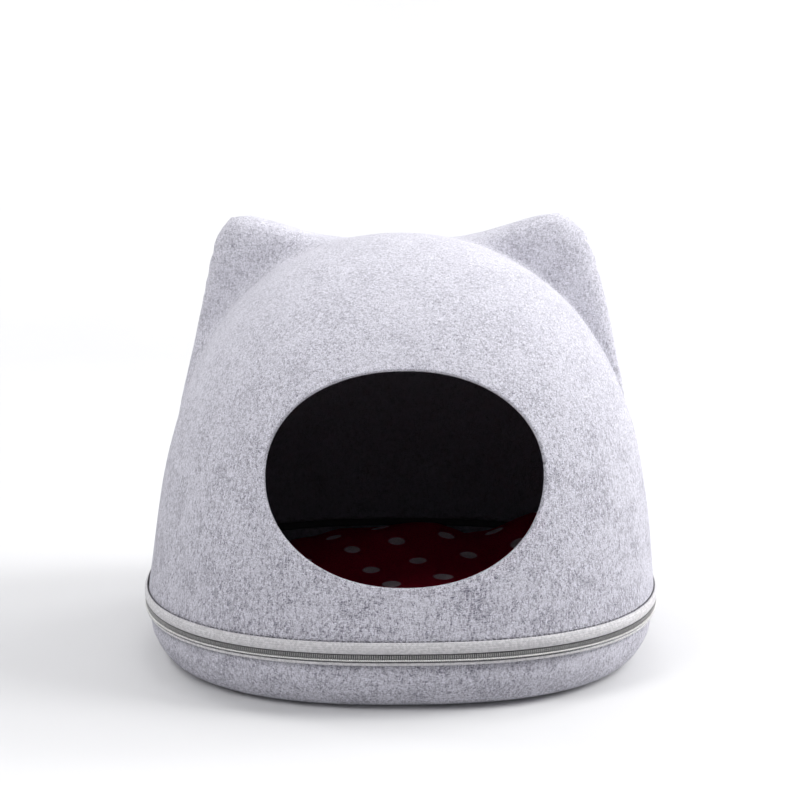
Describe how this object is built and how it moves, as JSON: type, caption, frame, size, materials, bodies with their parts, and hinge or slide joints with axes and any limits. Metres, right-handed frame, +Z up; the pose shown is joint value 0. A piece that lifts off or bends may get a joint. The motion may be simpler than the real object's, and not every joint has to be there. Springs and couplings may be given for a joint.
{
  "type": "felt cat cave bed",
  "caption": "Moulded felt cat cave with two ears and an oval entrance, zipped all round to a shallow tray that holds a padded fleece mat",
  "frame": {"origin": "centre of the bounding box at floor level, under the middle of the tray", "axes": "+Z up, the entrance faces -Y, +X to the right as seen from the front"},
  "size_m": [0.4046, 0.3844, 0.3353],
  "materials": {
    "felt": "heathered light grey needle felt, matt, with fine darker and lighter fibres",
    "zip_tape": "warm light grey woven tape, slight sheen",
    "zip_teeth": "grey polyester coil",
    "fleece": "dark red short-pile fleece with pale round dots"
  },
  "bodies": {
    "root": {"felt_hood": "felt", "felt_tray": "felt", "zip_tape_upper": "zip_tape", "zip_tape_lower": "zip_tape", "zip_teeth": "zip_teeth", "fleece_mat": "fleece"}
  },
  "joints": []
}
